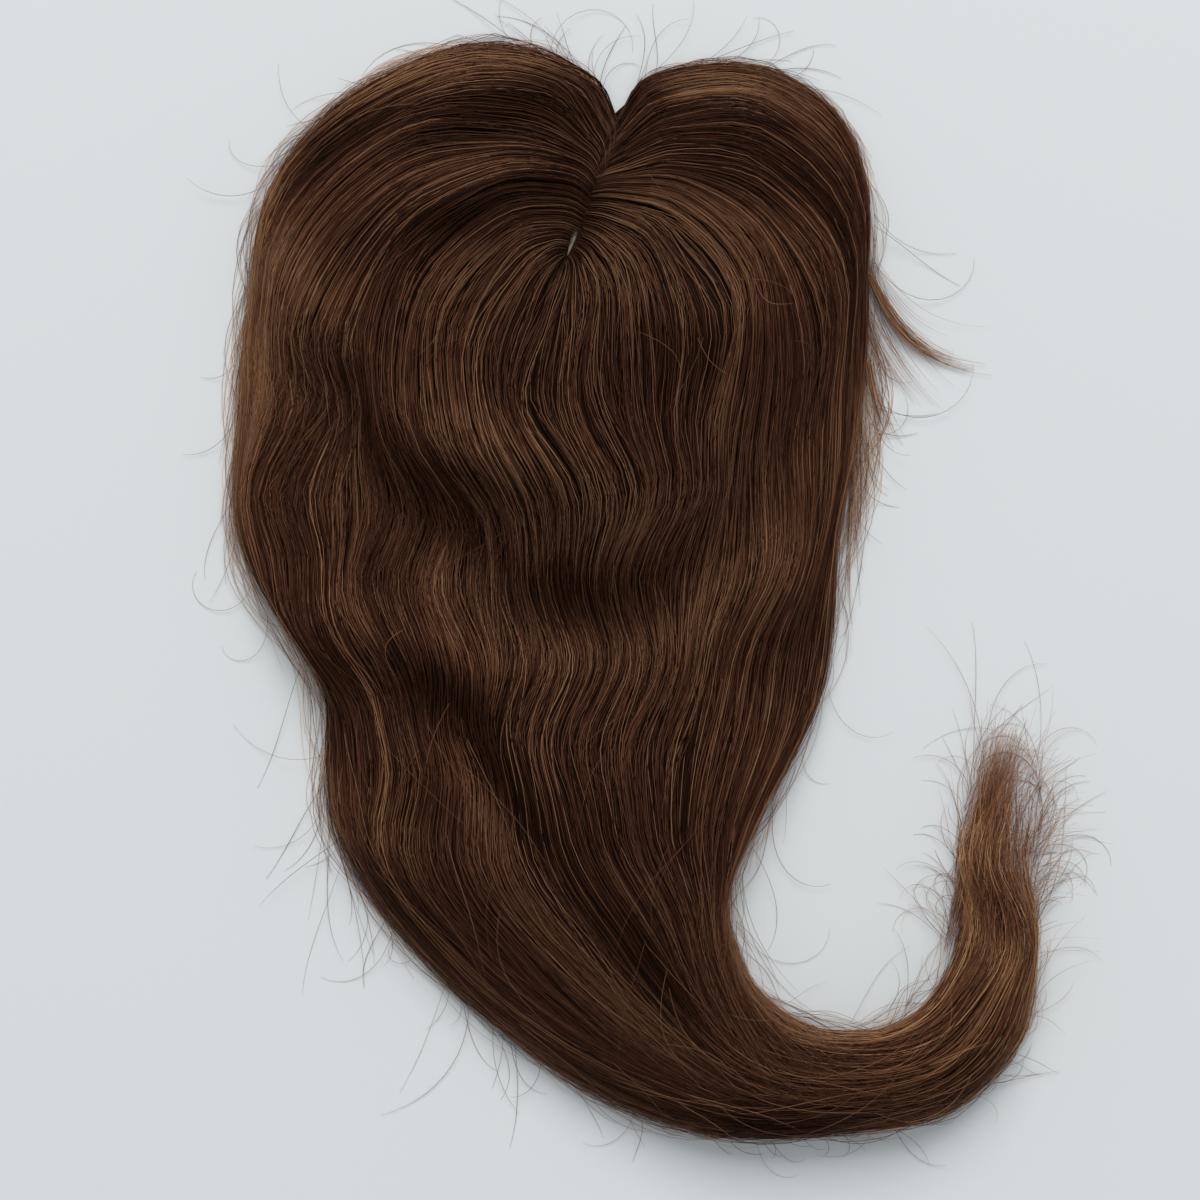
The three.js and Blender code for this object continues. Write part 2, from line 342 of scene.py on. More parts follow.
def strand_plan(section, share):
    """Where strands lie on the table: on the flow lines near the whorl, and on the hair's plan past them."""
    plan = np.stack(hair_plan(section, share), axis=-1)
    inside = np.clip(share, 0, 1)
    spill = plan - np.stack(hair_plan(section, inside), axis=-1)
    lines = np.array(list(FLOW_LINES.values()))
    marks = [
        np.stack([np.interp(inside, list(FLOW_LINES), lines[:, mark, axis]) for axis in range(2)], axis=-1)
        for mark in range(lines.shape[1])
    ]
    end = np.stack(hair_plan(FLOW_END + 0 * share, inside), axis=-1)
    past_end = np.stack(hair_plan(FLOW_END + FLOW_STEP + 0 * share, inside), axis=-1)
    marks = np.stack([2 * marks[0] - marks[1], *marks, end, marks[-1] + FLOW_PULL * (past_end - end)])
    # The marks lie at sections 0, 1/4, 1, 9/4 and 4, which is one step of pace from each to the next
    pace = 2 * np.sqrt(np.clip(section, 0, FLOW_END))
    before = np.minimum(pace.astype(int), lines.shape[1] - 1)
    grid = tuple(np.indices(before.shape))
    around = [marks[(before + mark, *grid)] for mark in range(4)]
    flow = curve_between(*around, (pace - before)[..., None]) + spill
    spots = np.where((section < FLOW_END)[..., None], flow, plan)
    return spots[..., 0], spots[..., 1]


def swing(x, y):
    """How far the strands' waves carry them sideways, in millimetres."""
    total = np.zeros_like(x)
    for centre_x, centre_y, reach_x, reach_y, size, wave_length, crossing in SWINGS.values():
        inside = np.exp(-(((x - centre_x) / reach_x) ** 4) - ((y - centre_y) / reach_y) ** 4)
        total += size * inside * np.sin(2 * np.pi * (crossing - y) / wave_length)
    return total


def hair_height(section, share, x, y):
    """The top of the hair over a place in the layout."""
    crest = section_row(section)[..., CREST]
    side = 2 * share - 1
    rounding = np.maximum(0, 1 - side**2) ** EDGE_ROUNDING
    body = EDGE_HEIGHT + (crest - EDGE_HEIGHT + fold_height(x, y)) * rounding
    root = dome_height(x, y, BASE_CLEARANCE) + ROOT_COVER
    rise = smoothstep(section, 0, ROOT_RISE_SECTIONS)
    return np.maximum(root, root + (body - root) * rise)


def parting_overlap(section, share):
    """How far the roots reach over the parting line, short of the small gap left at the crown."""
    side = 2 * share - 1
    reach = (PARTING_OVERLAP + PARTING_GAP) * smoothstep(np.abs(side), *PARTING_GAP_SIDES) - PARTING_GAP
    return np.sign(side) * reach * (1 - smoothstep(section, *PARTING_SECTIONS))


def crown_heights():
    """The hair's top over the crown on a grid of millimetre squares, and that grid's corner."""
    sections = np.linspace(0, CROWN_SECTIONS, CROWN_GRID)
    section, share = np.meshgrid(sections, np.linspace(0, 1, CROWN_GRID), indexing="ij")
    x, y = hair_plan(section, share)
    corner = (np.floor(x.min()) - CROWN_MARGIN, np.floor(y.min()) - CROWN_MARGIN)
    column = np.rint(x - corner[0]).astype(int)
    line = np.rint(y - corner[1]).astype(int)
    total = np.zeros((column.max() + 1 + CROWN_MARGIN, line.max() + 1 + CROWN_MARGIN))
    number = np.zeros_like(total)
    np.add.at(total, (column, line), hair_height(section, share, x, y))
    np.add.at(number, (column, line), 1)
    for _ in range(CROWN_SMOOTHINGS):
        for axis in (0, 1):
            total = total + np.roll(total, 1, axis) + np.roll(total, -1, axis)
            number = number + np.roll(number, 1, axis) + np.roll(number, -1, axis)
    return total / np.maximum(number, 1), corner


CROWN_TOP, CROWN_CORNER = crown_heights()


def crown_height(x, y):
    """The hair's top over a place in the crown."""
    column = np.clip(x - CROWN_CORNER[0], 0, CROWN_TOP.shape[0] - LAST_SQUARE)
    line = np.clip(y - CROWN_CORNER[1], 0, CROWN_TOP.shape[1] - LAST_SQUARE)
    left, low = column.astype(int), line.astype(int)
    across, up = column - left, line - low
    near = CROWN_TOP[left, low] * (1 - up) + CROWN_TOP[left, low + 1] * up
    far = CROWN_TOP[left + 1, low] * (1 - up) + CROWN_TOP[left + 1, low + 1] * up
    return near * (1 - across) + far * across


def place(x, y, z):
    """Layout millimetres to metres in the frame."""
    return np.stack([x + LAYOUT_SHIFT[0], y + LAYOUT_SHIFT[1], z], axis=-1) * MM


def row_lengths():
    """How long each section is from edge to edge, in millimetres."""
    share = np.linspace(0, 1, ROW_POINTS)
    section = np.linspace(0, LAST_SECTION, LAST_SECTION * ROWS_PER_SECTION + 1)
    x, y = hair_plan(section[:, None] + 0 * share, share + 0 * section[:, None])
    return section, np.hypot(np.diff(x, axis=1), np.diff(y, axis=1)).sum(1)


ROW_AT, ROW_LENGTH = row_lengths()


def length_across(section):
    """Millimetres from edge to edge at a place along the hair."""
    return np.interp(section, ROW_AT, ROW_LENGTH)


def thin_streak(section, share):
    """How thin the hair is at a place in the streaks, from 0 to 1, and how far in they reach there."""
    length = length_across(section)
    thin, reach = 0 * section * share, 0 * section * share
    for edge, centre, half_length, inset, width, most in THIN_STREAKS.values():
        here = bell(section, centre, half_length)
        inwards = length * (1 - share if edge else share)
        thin = np.maximum(thin, most * here * bell(inwards, inset, width))
        reach = np.maximum(reach, here * (inset + width) * (inwards < length / 2))
    return thin, reach


def edge_inset(section, edge):
    """Millimetres from the outline to the dense hair at an edge, 0 left or 1 right."""
    inset = EDGE_INSET
    for loose_edge, centre, half_length, further in LOOSE_EDGES.values():
        inset = inset + further * bell(section, centre, half_length) * (edge == loose_edge)
    return inset * smoothstep(section, *EDGE_INSET_SECTIONS)


def flow_heading(section, share):
    """The direction in which the hair runs at a place in it."""
    x, y = hair_plan(section, share)
    ahead_x, ahead_y = hair_plan(section + HEADING_STEP, share)
    return np.arctan2(ahead_y - y, ahead_x - x)


def edge_reach(edge):
    """Millimetres straight in from an edge to a unit of share, along the hair."""
    at_edge = edge + 0 * ROW_AT
    inside = at_edge + EDGE_STEP * (1 - 2 * edge)
    heading = flow_heading(ROW_AT, at_edge)
    x, y = hair_plan(ROW_AT, at_edge)
    inner_x, inner_y = hair_plan(ROW_AT, inside)
    across = (inner_x - x) * np.sin(heading) - (inner_y - y) * np.cos(heading)
    return np.maximum(np.abs(across) / EDGE_STEP, LEAST_EDGE_REACH)


EDGE_REACHES = [edge_reach(edge) for edge in (0, 1)]


def inset_share(section, edge):
    """The share of the width from the outline to the dense hair at an edge."""
    return edge_inset(section, edge) / np.interp(section, ROW_AT, EDGE_REACHES[edge])


# Materials

def new_material(name):
    """A material, its node tree and its shader."""
    material = bpy.data.materials.new(name)
    material.use_nodes = True
    nodes = material.node_tree.nodes
    return material, material.node_tree, nodes["Principled BSDF"]


def add_node(tree, kind, **inputs):
    node = tree.nodes.new(kind)
    for name, value in inputs.items():
        node.inputs[name].default_value = value
    return node


def ramp_node(tree, stops):
    node = tree.nodes.new("ShaderNodeValToRGB")
    elements = node.color_ramp.elements
    while len(elements) < len(stops):
        elements.new(0.5)
    for element, (position, colour) in zip(elements, stops):
        element.position = position
        element.color = (*colour, 1)
    return node


def hair_material():
    """Strands: their tone runs across their map and their lightening from root to tip runs up it."""
    material, tree, shader = new_material("brown_hair_strands")
    link = tree.links.new
    uv = tree.nodes.new("ShaderNodeUVMap")
    uv.uv_map = "OFBake"
    split = tree.nodes.new("ShaderNodeSeparateXYZ")
    link(uv.outputs["UV"], split.inputs["Vector"])
    tone = ramp_node(tree, [
        (0.0, (0.0105, 0.0043, 0.0023)),
        (0.35, (0.0465, 0.0166, 0.0092)),
        (0.6, (0.1205, 0.0445, 0.0252)),
        (0.8, (0.23, 0.108, 0.0555)),
        (1.0, (0.40, 0.22, 0.115)),
    ])
    link(split.outputs["X"], tone.inputs["Fac"])
    lighter = tree.nodes.new("ShaderNodeMix")
    lighter.data_type = "RGBA"
    lighter.blend_type = "MULTIPLY"
    lighter.inputs["Factor"].default_value = 1
    along = ramp_node(tree, [
        (0.0, (0.7, 0.7, 0.7)),
        (0.15, (1.0, 1.0, 1.0)),
        (0.68, (1.05, 1.05, 1.05)),
        (0.84, (2.1, 2.36, 2.2)),
        (1.0, (3.05, 3.55, 3.35)),
    ])
    link(split.outputs["Y"], along.inputs["Fac"])
    link(tone.outputs["Color"], lighter.inputs["A"])
    link(along.outputs["Color"], lighter.inputs["B"])
    link(lighter.outputs["Result"], shader.inputs["Base Color"])
    shader.inputs["Roughness"].default_value = 0.42
    shader.inputs["Specular IOR Level"].default_value = 0.1
    shader.inputs["Specular Tint"].default_value = (1.0, 0.66, 0.46, 1)
    return material


def hair_body_material():
    """The hair under the strands: dark as painted shade in the hair's depths, with streaks along the flow.
    """
    material, tree, shader = new_material("brown_hair_depths")
    link = tree.links.new
    uv = tree.nodes.new("ShaderNodeTexCoord")
    stretch = tree.nodes.new("ShaderNodeMapping")
    stretch.inputs["Scale"].default_value = (260, 6, 1)
    link(uv.outputs["UV"], stretch.inputs["Vector"])
    streak = add_node(tree, "ShaderNodeTexNoise", Scale=1.0, Detail=3.0)
    link(stretch.outputs["Vector"], streak.inputs["Vector"])
    # Painted shade: the body is darker than the strands above it
    tone = ramp_node(tree, [
        (0.3, (0.0085, 0.0034, 0.0018)),
        (0.7, (0.0265, 0.0108, 0.0057)),
    ])
    link(streak.outputs["Fac"], tone.inputs["Fac"])
    link(tone.outputs["Color"], shader.inputs["Base Color"])
    bump = add_node(tree, "ShaderNodeBump", Strength=0.6, Distance=0.0008)
    link(streak.outputs["Fac"], bump.inputs["Height"])
    link(bump.outputs["Normal"], shader.inputs["Normal"])
    shader.inputs["Roughness"].default_value = 0.8
    shader.inputs["Specular IOR Level"].default_value = 0.05
    return material


def base_material():
    """Fine skin-coloured net."""
    material, tree, shader = new_material("skin_tone_net")
    link = tree.links.new
    places = tree.nodes.new("ShaderNodeTexCoord")
    mesh = add_node(tree, "ShaderNodeTexVoronoi", Scale=1400.0)
    link(places.outputs["Object"], mesh.inputs["Vector"])
    tone = ramp_node(tree, [(0.0, (0.30, 0.235, 0.195)), (0.6, (0.42, 0.34, 0.29))])
    link(mesh.outputs["Distance"], tone.inputs["Fac"])
    link(tone.outputs["Color"], shader.inputs["Base Color"])
    shader.inputs["Roughness"].default_value = 0.8
    return material


def clip_material():
    """Satin brown lacquer on spring steel."""
    material, tree, shader = new_material("lacquered_clip_steel")
    link = tree.links.new
    places = tree.nodes.new("ShaderNodeTexCoord")
    scuffs = add_node(tree, "ShaderNodeTexNoise", Scale=420.0, Detail=4.0)
    link(places.outputs["Object"], scuffs.inputs["Vector"])
    tone = ramp_node(tree, [(0.35, (0.02, 0.013, 0.01)), (0.75, (0.045, 0.032, 0.026))])
    link(scuffs.outputs["Fac"], tone.inputs["Fac"])
    link(tone.outputs["Color"], shader.inputs["Base Color"])
    shader.inputs["Metallic"].default_value = 0.7
    shader.inputs["Roughness"].default_value = 0.4
    return material


strand_finish = hair_material()
depths_finish = hair_body_material()


# Camera, table and light

def add_camera():
    data = bpy.data.cameras.new("camera")
    data.sensor_width = SENSOR_WIDTH
    data.lens = SENSOR_WIDTH * CAMERA_HEIGHT / FRAME_WIDTH
    camera = bpy.data.objects.new("camera", data)
    camera.location = (*FRAME_CENTRE, CAMERA_HEIGHT)
    bpy.context.collection.objects.link(camera)
    bpy.context.scene.camera = camera


def add_table():
    bpy.ops.object.select_all(action="DESELECT")
    bpy.ops.mesh.primitive_plane_add(size=TABLE_SIZE, location=(0, 0, 0))
    table = bpy.context.object
    table.name = "table"
    material, _, shader = new_material("pale_table")
    shader.inputs["Base Color"].default_value = TABLE_COLOUR
    shader.inputs["Roughness"].default_value = 1
    shader.inputs["Specular IOR Level"].default_value = 0
    table.data.materials.append(material)


def add_window_light():
    """An area light in the window's place, turned towards the middle of the table."""
    data = bpy.data.lights.new("window", "AREA")
    data.shape = "RECTANGLE"
    data.size, data.size_y = WINDOW_SIZE
    data.energy = WINDOW_POWER
    data.color = WINDOW_COLOUR
    window = bpy.data.objects.new("window", data)
    window.location = WINDOW_PLACE
    x, y, z = WINDOW_PLACE
    window.rotation_euler = (math.atan2(math.hypot(x, y), z), 0, math.atan2(-x, y) + math.pi)
    bpy.context.collection.objects.link(window)


def add_room_light():
    world = bpy.data.worlds.new("room")
    bpy.context.scene.world = world
    world.use_nodes = True
    background = world.node_tree.nodes["Background"]
    background.inputs["Color"].default_value = ROOM_COLOUR
    background.inputs["Strength"].default_value = ROOM_STRENGTH
    bpy.context.scene.view_settings.view_transform = "Standard"


# Hair bodies under the strands: their sections, and their sizes in millimetres
BODY_START = 0.04
BODY_END = 16.9
BODY_END_SECTIONS = 2
BODY_END_DROP = 16
BODY_DEPTH = 3.4
BODY_UNDER = 0.3
BODY_LEAST = 0.3
BODY_HEM = 2


def vertex_spots(mesh):
    """The places of a mesh's vertices, by vertex and axis."""
    spots = np.empty(len(mesh.vertices) * 3)
    mesh.vertices.foreach_get("co", spots)
    return spots.reshape(-1, 3)


def body_underside(first, x, y):
    """The underside of a hair body: over the base if it starts at the parting, or else on the table."""
    return (dome_height(x, y, BASE_CLEARANCE) if first == 0 else 0 * x) + BODY_UNDER


def add_hair_body(node):
    """A grid laid under the strands of one hair node, then given an underside on the table or the base."""
    first, last, low, high, cells_along, cells_across = HAIR_NODES[node]
    bpy.ops.object.select_all(action="DESELECT")
    bpy.ops.mesh.primitive_grid_add(x_subdivisions=cells_across, y_subdivisions=cells_along, size=1)
    body = bpy.context.object
    body.name = node + "_body"
    mesh = body.data
    spots = vertex_spots(mesh)
    share = low + (high - low) * (spots[:, 0] + 0.5)
    section = first + (last - first) * (spots[:, 1] + 0.5)
    section = np.clip(section, BODY_START, BODY_END)
    hem = (BODY_HEM + thin_streak(section, share)[1]) / length_across(section)
    share = np.clip(share, hem + inset_share(section, 0), 1 - hem - inset_share(section, 1))
    x, y = hair_plan(section, share)
    x = x - parting_overlap(section, share)
    depth = BODY_DEPTH + BODY_END_DROP * smoothstep(section, BODY_END - BODY_END_SECTIONS, BODY_END)
    top = np.maximum(hair_height(section, share, x, y) - depth, body_underside(first, x, y) + BODY_LEAST)
    mesh.vertices.foreach_set("co", place(x, y, top).ravel())
    bpy.ops.object.mode_set(mode="EDIT")
    bpy.ops.mesh.select_all(action="SELECT")
    bpy.ops.mesh.extrude_region_move(TRANSFORM_OT_translate={"value": (0, 0, -MM)})
    bpy.ops.object.mode_set(mode="OBJECT")
    lower = np.empty(len(mesh.vertices), bool)
    mesh.vertices.foreach_get("select", lower)
    spots = vertex_spots(mesh)
    x = spots[lower, 0] / MM - LAYOUT_SHIFT[0]
    y = spots[lower, 1] / MM - LAYOUT_SHIFT[1]
    spots[lower, 2] = body_underside(first, x, y) * MM
    mesh.vertices.foreach_set("co", spots.ravel())
    bpy.ops.object.mode_set(mode="EDIT")
    bpy.ops.mesh.select_all(action="SELECT")
    bpy.ops.mesh.normals_make_consistent(inside=False)
    bpy.ops.object.mode_set(mode="OBJECT")
    bpy.ops.object.shade_smooth()
    mesh.materials.append(depths_finish)
    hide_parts(node)
    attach(body, "root")


# Strands: closed tubes with three sides, and a map that runs across each side and along the hair
STRAND_SIDES = 3
SIDE_CORNERS = (0.1, 0.9, 0.9, 0.1)
TONE_BAND = 0.3
MAP_LIMITS = (0.001, 0.999)
TAPER_ROOT_END = 0.08
TAPER_TIP_START = 0.55


def add_strands(name, paths, along, radii, tones):
    """One mesh of closed tubes. paths: strands by points by xyz, in metres. along: 0 at roots, 1 at tips."""
    count, points, _ = paths.shape
    flow = np.gradient(paths, axis=1)
    flow /= np.linalg.norm(flow, axis=2, keepdims=True) + 1e-12
    aside = np.cross(flow, (0.0, 0.0, 1.0))
    aside /= np.linalg.norm(aside, axis=2, keepdims=True) + 1e-9
    above = np.cross(aside, flow)
    turn = 2 * np.pi * np.arange(STRAND_SIDES) / STRAND_SIDES + np.pi / 2
    ring = aside[:, :, None] * np.cos(turn)[:, None] + above[:, :, None] * np.sin(turn)[:, None]
    spots = paths[:, :, None] + ring * radii[:, :, None, None]
    number = np.arange(count * points * STRAND_SIDES).reshape(count, points, STRAND_SIDES)
    wrapped = np.roll(number, -1, axis=2)
    quads = np.stack([number[:, :-1], wrapped[:, :-1], wrapped[:, 1:], number[:, 1:]], axis=-1)
    quads = quads.reshape(-1, 4)
    caps = np.concatenate([number[:, 0, ::-1], number[:, -1]])
    mesh = bpy.data.meshes.new(name)
    loops = np.concatenate([quads.ravel(), caps.ravel()])
    sizes = np.concatenate([np.full(len(quads), 4), np.full(len(caps), STRAND_SIDES)])
    mesh.vertices.add(spots.size // 3)
    mesh.vertices.foreach_set("co", spots.ravel())
    mesh.loops.add(len(loops))
    mesh.loops.foreach_set("vertex_index", loops)
    mesh.polygons.add(len(sizes))
    mesh.polygons.foreach_set("loop_start", np.concatenate([[0], np.cumsum(sizes)[:-1]]))
    mesh.polygons.foreach_set("use_smooth", np.ones(len(sizes), bool))
    strand = loops // (points * STRAND_SIDES)
    point = loops // STRAND_SIDES % points
    sideways = np.concatenate([np.tile(SIDE_CORNERS, len(quads)), caps.ravel() % STRAND_SIDES])
    map_x = np.clip(tones[strand, point] + TONE_BAND * (sideways - 0.5), *MAP_LIMITS)
    map_y = np.clip(along[strand, point], *MAP_LIMITS)
    layer = mesh.uv_layers.new(name="OFBake")
    layer.uv.foreach_set("vector", np.stack([map_x, map_y], axis=1).ravel())
    mesh.update(calc_edges=True)
    mesh.validate()
    mesh.materials.append(strand_finish)
    strands = bpy.data.objects.new(name, mesh)
    bpy.context.collection.objects.link(strands)
    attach(strands, "root")
    return strands


def taper(points, root, tip):
    """Thickness along a strand: thin at its start, full in the middle, drawn out to its tip."""
    step = np.linspace(0, 1, points)
    swell = (1 - root) * smoothstep(step, 0, TAPER_ROOT_END)
    return root + swell - (1 - tip) * smoothstep(step, TAPER_TIP_START, 1)


# Waves that gather neighbouring strands into locks: beats across and along the hair, phase and size
LOCK_WAVE_COUNT = 7
LOCK_WAVE_RANGES = ((40, 150), (-1.6, 1.6), (0, 2 * np.pi), (0.15, 0.4))
LOCK_WAVES = [[rng.uniform(*limits) for limits in LOCK_WAVE_RANGES] for _ in range(LOCK_WAVE_COUNT)]


def lock_sway(section, share):
    """Millimetres that neighbouring strands sway together."""
    return sum(
        size * np.sin(across * share + along * section + phase)
        for across, along, phase, size in LOCK_WAVES
    )


# The crown's layer: the sections where its strands close in on its middle and part again, how far they
# do, and the sections between which they lie higher than the lengths
CROWN_MIDDLE = 0.5
CLOSE_HALF_WIDTH = 0.2
CLOSE_SECTIONS = (3.5, 5.2)
PART_SECTIONS = (5.4, 8)
PART_AGAIN = 0.7
CLOSE_IN = 0.3
CLOSE_SHIFT = 0.02
LAYER_HALF_WIDTH = 0.24
LAYER_RISES = (2, 3.5)
LAYER_SINKS = (5, 6.5)
LAYER_HEIGHT = 1.6


def crown_gather(section, share):
    """The crown's strands close in on its middle before they end."""
    drawn = smoothstep(section, *CLOSE_SECTIONS) * (1 - PART_AGAIN * smoothstep(section, *PART_SECTIONS))
    drawn = drawn * plateau(share, CROWN_MIDDLE, CLOSE_HALF_WIDTH)
    return share + CLOSE_SHIFT * drawn - CLOSE_IN * drawn * (share - CROWN_MIDDLE)


def crown_layer(section, share):
    """Millimetres that the crown's strands lie over the lengths."""
    middle = plateau(share, CROWN_MIDDLE, LAYER_HALF_WIDTH)
    rise = smoothstep(section, *LAYER_RISES) * (1 - smoothstep(section, *LAYER_SINKS))
    return LAYER_HEIGHT * middle * rise


# Tones, from 0 for the darkest strands to 1 for golden ones
TONE_LIMITS = (0.02, 0.98)
TONE_MIDDLE = 0.457
TONE_SPREAD = 0.22
TONE_RIPPLE = 0.07
RIPPLE_BEAT = 1.9
WISP_TONE_SPREAD = 0.07
# Painted light and shade on the waves: lighter where they face the window, darker where they face away
FOLD_SHADE = 0.5
# Painted light at the thin edges, for light shining through the hair there
EDGE_PAINTED_LIGHT = 0.24
EDGE_PAINTED_LIGHT_REACH = 4
EDGE_PAINTED_LIGHT_SECTIONS = (1, 2.5)

# Golden locks: share of the width, half width, first and last section, how much lighter
GOLDEN_LOCKS = {
    "right_of_crown": (0.65, 0.024, 0.3, 4.4, 0.22),
    "left_brow": (0.04, 0.03, 0.8, 3.0, 0.06),
    "left_side": (0.05, 0.055, 3.4, 7.0, 0.34),
    # The right brow's lock is lighter partly as a painted highlight on its pale streaks
    "right_brow": (0.955, 0.025, 0.8, 3.5, 0.34),
    "right_side": (0.95, 0.06, 5.2, 8.2, 0.26),
    "inside_curl": (0.93, 0.08, 8.5, 14.5, 0.2),
}
GOLD_COMES = 0.5
GOLD_GOES = 0.7


def strand_tone(section, share, from_edge, x, y):
    """Light and dark strands: painted light at the thin edges and on the waves' far faces, painted shade on
    their near faces, painted light and shade in the patches, and lighter in the golden locks.
    """
    count = len(section)
    tone = rng.normal(TONE_MIDDLE, TONE_SPREAD, (count, 1))
    # Painted light and shade: by how the waves face the window, and in the patches
    tone = tone + FOLD_SHADE * fold_slope(x, y) + patch_shade_and_tone(x, y)
    tone = tone + TONE_RIPPLE * np.sin(RIPPLE_BEAT * section + rng.uniform(0, 2 * np.pi, (count, 1)))
    # Painted light at the thin edges, for light shining through the hair there
    at_edge = bell(from_edge, 0, EDGE_PAINTED_LIGHT_REACH) * smoothstep(section, *EDGE_PAINTED_LIGHT_SECTIONS)
    tone = tone + EDGE_PAINTED_LIGHT * at_edge
    for golden_share, width, first, last, rise in GOLDEN_LOCKS.values():
        inside = smoothstep(section, first, first + GOLD_COMES)
        inside = inside * (1 - smoothstep(section, last - GOLD_GOES, last))
        tone = tone + rise * bell(share, golden_share, width) * inside
    return tone


def drawn_tones(middle, spread, count):
    """A tone for each strand, drawn round a middle one."""
    return np.clip(rng.normal(middle, spread, (count, 1)), *TONE_LIMITS)


# Wisps, which are thin bundles of strands: sizes in millimetres, beats in radians for each section
STRANDS_PER_WISP = 4
EDGE_CROWDING = 0.4
START_STRAY = 0.25
END_STRAY = 0.35
STEP_STRAY = (-0.4, 0.4)
PHASES = (0, 6)
WISP_WIDTHS = (0.6, 1.4)
PINCH_BEATS = (0.5, 1.3)
WISP_SWAYS = (0.2, 0.7)
WISP_SWAY_BEATS = (0.9, 2.2)
SHIVERS = (0.05, 0.4)
SHIVER_BEATS = (1.4, 3.4)
WISP_DRIFT = 0.5
STRAND_DRIFT = 0.25
CROWN_DRIFT_SHARES = (0.16, 0.3)
ROOTS_SPREAD_SECTIONS = (0, 1.5)
LIFTS = (0, 0.3)
LIFT_BEAT = 2.1
WISP_ROUNDING = 0.35
STRAND_DEPTHS = (0, 0.4)
EMERGE_DEPTH = 2.5
EMERGE_STEPS = (0, 0.15)
STRAND_LOWEST = 0.25
BASE_SINK = 0.7

# Strands near the outline: how far they swing out of it and sink towards the table
EDGE_SWINGS = 1.4
EDGE_SWING_MOST = 5
EDGE_SWING_BEATS = (0.8, 2.5)
EDGE_SWING_REACH = 2
EDGE_SWING_SECTIONS = (0.5, 1.5)
EDGE_SINK = 0.7
EDGE_SINK_REACH = 2.5

# Thickness of the strands in wisps, with those in thin streaks and those that swing out thinner
STRAND_RADIUS = 0.113
STRAND_THICKNESS = (0.65, 1.45)
WISP_TAPER = (0.6, 0.3)
STREAK_THINNING = 0.85
STREAK_BLUR = 0.1
SWING_THINNING = 0.4
SWING_THIN_RANGE = (0.5, 3)

# Strands that make room for the valley between the lengths: share of the width, half width, how far they
# move across, the sections over which they do, and the sections over which they move back
VALLEY_SHIFTS = {
    "left": (0.25, 0.18, -0.14, (8, 9.6), (10, 12)),
    "right": (0.68, 0.2, 0.1, (8.6, 10.2), (LAST_SECTION, LAST_SECTION + 1)),
}


def each_strand(values):
    """The wisps' values, given to each of their strands."""
    return np.repeat(values, STRANDS_PER_WISP, axis=0)[:, None]


def by_wisp(low, high, wisps):
    """A number drawn for each wisp, and given to each of its strands."""
    return each_strand(rng.uniform(low, high, wisps))


def by_strand(low, high, wisps):
    """A number drawn for each strand of the wisps."""
    return rng.uniform(low, high, (wisps * STRANDS_PER_WISP, 1))


def section_run(start, end, stops, step):
    """Sections along a strand, at an uneven pace: stops are pairs of step and section between its ends."""
    marks = [(0, start), *stops, (1, end)]
    section = start + 0 * step
    for (step_before, before), (step_after, after) in zip(marks, marks[1:]):
        passed = np.clip((step - step_before) / (step_after - step_before), 0, 1)
        section = section + (after - before) * passed
    return section


def wisp_middles(wisps, shares):
    """The share of the width at which each wisp runs, somewhat closer together at the hair's edges."""
    even = shares[0] + (shares[1] - shares[0]) * (np.arange(wisps) + rng.uniform(0, 1, wisps)) / wisps
    crowded = (1 + np.sin(np.pi * (even - 0.5))) / 2
    return each_strand((1 - EDGE_CROWDING) * even + EDGE_CROWDING * crowded)


def wisp_sections(wisps, starts, ends, stops, step):
    """The section where each strand starts, and those that it passes."""
    start = by_wisp(*starts, wisps) + START_STRAY * starts[1] * by_strand(0, 1, wisps)
    end = by_wisp(*ends, wisps)
    end = end + rng.normal(0, END_STRAY, end.shape)
    stray = by_strand(*STEP_STRAY, wisps) / step.size * np.sin(np.pi * step)
    section = section_run(start, end, stops, step + stray)
    return start, np.clip(section, 0, LAST_SECTION)


def wisp_offset(wisps, aside, half_width, start, section):
    """Millimetres that each strand lies to the side of its wisp's own share of the width."""
    pinch = np.sin(by_wisp(*PINCH_BEATS, wisps) * section + by_wisp(*PHASES, wisps)) ** 2
    offset = aside * by_wisp(*WISP_WIDTHS, wisps) * half_width * (0.5 + 0.5 * pinch)
    sway = by_wisp(*WISP_SWAYS, wisps)
    beat = by_wisp(*WISP_SWAY_BEATS, wisps)
    offset = offset + sway * np.sin(beat * section + by_wisp(0, 2 * np.pi, wisps))
    shiver = by_strand(*SHIVERS, wisps)
    beat = by_strand(*SHIVER_BEATS, wisps)
    offset = offset + shiver * np.sin(beat * section + by_strand(0, 2 * np.pi, wisps))
    drift = each_strand(rng.normal(0, WISP_DRIFT, wisps))
    drift = drift + rng.normal(0, STRAND_DRIFT, drift.shape)
    return offset + drift * (section - start)


def drifted_share(section, middle, crown, drift_left):
    """The share of the width where a wisp runs, drifting left and making room for the valley."""
    most, first, last = drift_left
    if crown:
        most = most * (1 - smoothstep(middle, *CROWN_DRIFT_SHARES))
    share = middle * (1 - most * smoothstep(section, first, last))
    for valley_share, width, shift, moves, returns in VALLEY_SHIFTS.values():
        moved = smoothstep(section, *moves) * (1 - smoothstep(section, *returns))
        share = share + shift * bell(share, valley_share, width) * moved
    return share


def drawn_inside(section, share):
    """The share of the width, drawn in from both outlines to where the dense hair ends."""
    from_left = inset_share(section, 0) * np.maximum(0, 1 - share / EDGE_ZONE) ** 2
    from_right = inset_share(section, 1) * np.maximum(0, 1 - (1 - share) / EDGE_ZONE) ** 2
    return share + from_left - from_right


